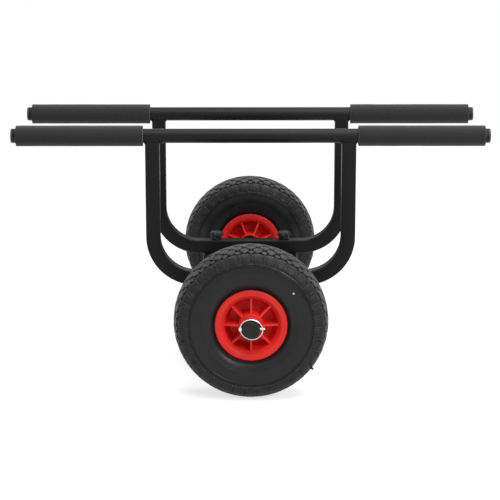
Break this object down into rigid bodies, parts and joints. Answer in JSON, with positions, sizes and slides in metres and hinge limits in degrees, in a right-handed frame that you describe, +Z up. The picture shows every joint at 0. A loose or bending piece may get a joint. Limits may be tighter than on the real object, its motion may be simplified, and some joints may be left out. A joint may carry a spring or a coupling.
{
  "type": "kayak cart",
  "caption": "Kayak cart: foam padded carrying bars on bent square tube frames, clamped by star knobs to a slotted base on an axle with pneumatic wheels held by linch pins.",
  "frame": {"origin": "on the ground, below the middle of the axle, at the centre of the part's box", "axes": "+X the way the cart rolls and along the padded bars, +Y left along the axle, +Z up"},
  "size_m": [0.8354, 0.737, 0.4322],
  "materials": {
    "frame_paint": "black powder coat, satin",
    "foam": "matte closed cell foam",
    "tyre": "matte rubber, treaded",
    "tube_rubber": "smooth rubber",
    "red_plastic": "red moulded plastic, semi gloss",
    "black_plastic": "matte moulded plastic",
    "knob_plastic": "matte moulded plastic",
    "zinc": "bright zinc plate",
    "brass": "plain brass"
  },
  "bodies": {
    "base": {"base_rail_front": "frame_paint", "rail_plug_front_left": "black_plastic", "rail_plug_front_right": "black_plastic", "base_rail_rear": "frame_paint", "rail_plug_rear_left": "black_plastic", "rail_plug_rear_right": "black_plastic", "axle_plate_left": "frame_paint", "axle_cap_left": "black_plastic", "stop_collar_left": "frame_paint", "axle_washer_left": "black_plastic", "linch_pin_left": "zinc", "axle_plate_right": "frame_paint", "axle_cap_right": "black_plastic", "stop_collar_right": "frame_paint", "axle_washer_right": "black_plastic", "linch_pin_right": "zinc", "axle_tube": "frame_paint"},
    "cradle_left": {"bent_frame_left": "frame_paint", "bar_left": "frame_paint", "foam_sleeve_front_left": "foam", "bar_cap_front_left": "black_plastic", "clamp_bolt_front_left": "zinc", "knob_washer_front_left": "zinc", "foam_sleeve_rear_left": "foam", "bar_cap_rear_left": "black_plastic", "clamp_bolt_rear_left": "zinc", "knob_washer_rear_left": "zinc"},
    "knob_front_left": {"star_knob_front_left": "knob_plastic"},
    "knob_rear_left": {"star_knob_rear_left": "knob_plastic"},
    "wheel_left": {"wheel_rim_left": "red_plastic", "tyre_left": "tyre", "inner_tube_left": "tube_rubber", "valve_stem_left": "brass", "valve_cap_left": "black_plastic", "hub_bush_outer_left": "black_plastic", "hub_bush_inner_left": "black_plastic"},
    "ring_left": {"linch_ring_left": "zinc"},
    "cradle_right": {"bent_frame_right": "frame_paint", "bar_right": "frame_paint", "foam_sleeve_front_right": "foam", "bar_cap_front_right": "black_plastic", "clamp_bolt_front_right": "zinc", "knob_washer_front_right": "zinc", "foam_sleeve_rear_right": "foam", "bar_cap_rear_right": "black_plastic", "clamp_bolt_rear_right": "zinc", "knob_washer_rear_right": "zinc"},
    "knob_front_right": {"star_knob_front_right": "knob_plastic"},
    "knob_rear_right": {"star_knob_rear_right": "knob_plastic"},
    "wheel_right": {"wheel_rim_right": "red_plastic", "tyre_right": "tyre", "inner_tube_right": "tube_rubber", "valve_stem_right": "brass", "valve_cap_right": "black_plastic", "hub_bush_outer_right": "black_plastic", "hub_bush_inner_right": "black_plastic"},
    "ring_right": {"linch_ring_right": "zinc"}
  },
  "joints": [
    {"name": "cradle_slide_left", "type": "slide", "parent": "base", "child": "cradle_left", "axis": [0, 1, 0], "range_m": [-0.05, 0.05]},
    {"name": "knob_turn_front_left", "type": "hinge", "parent": "cradle_left", "child": "knob_front_left", "pos_m": [0.064, 0.125, 0.18], "axis": [0, 0, 1], "range_deg": [0, 540]},
    {"name": "knob_turn_rear_left", "type": "hinge", "parent": "cradle_left", "child": "knob_rear_left", "pos_m": [-0.064, 0.125, 0.18], "axis": [0, 0, 1], "range_deg": [0, 540]},
    {"name": "wheel_spin_left", "type": "hinge", "parent": "base", "child": "wheel_left", "pos_m": [0, 0.305, 0.13], "axis": [0, 1, 0], "continuous": true},
    {"name": "ring_swing_left", "type": "hinge", "parent": "base", "child": "ring_left", "pos_m": [-0.0178, 0.3595, 0.13], "axis": [0, 0.2351, 0.972], "range_deg": [0, 150]},
    {"name": "cradle_slide_right", "type": "slide", "parent": "base", "child": "cradle_right", "axis": [0, -1, 0], "range_m": [-0.05, 0.05]},
    {"name": "knob_turn_front_right", "type": "hinge", "parent": "cradle_right", "child": "knob_front_right", "pos_m": [0.064, -0.125, 0.18], "axis": [0, 0, 1], "range_deg": [0, 540]},
    {"name": "knob_turn_rear_right", "type": "hinge", "parent": "cradle_right", "child": "knob_rear_right", "pos_m": [-0.064, -0.125, 0.18], "axis": [0, 0, 1], "range_deg": [0, 540]},
    {"name": "wheel_spin_right", "type": "hinge", "parent": "base", "child": "wheel_right", "pos_m": [0, -0.305, 0.13], "axis": [0, 1, 0], "continuous": true},
    {"name": "ring_swing_right", "type": "hinge", "parent": "base", "child": "ring_right", "pos_m": [-0.0178, -0.3595, 0.13], "axis": [0, 0.2351, -0.972], "range_deg": [0, 150]}
  ]
}
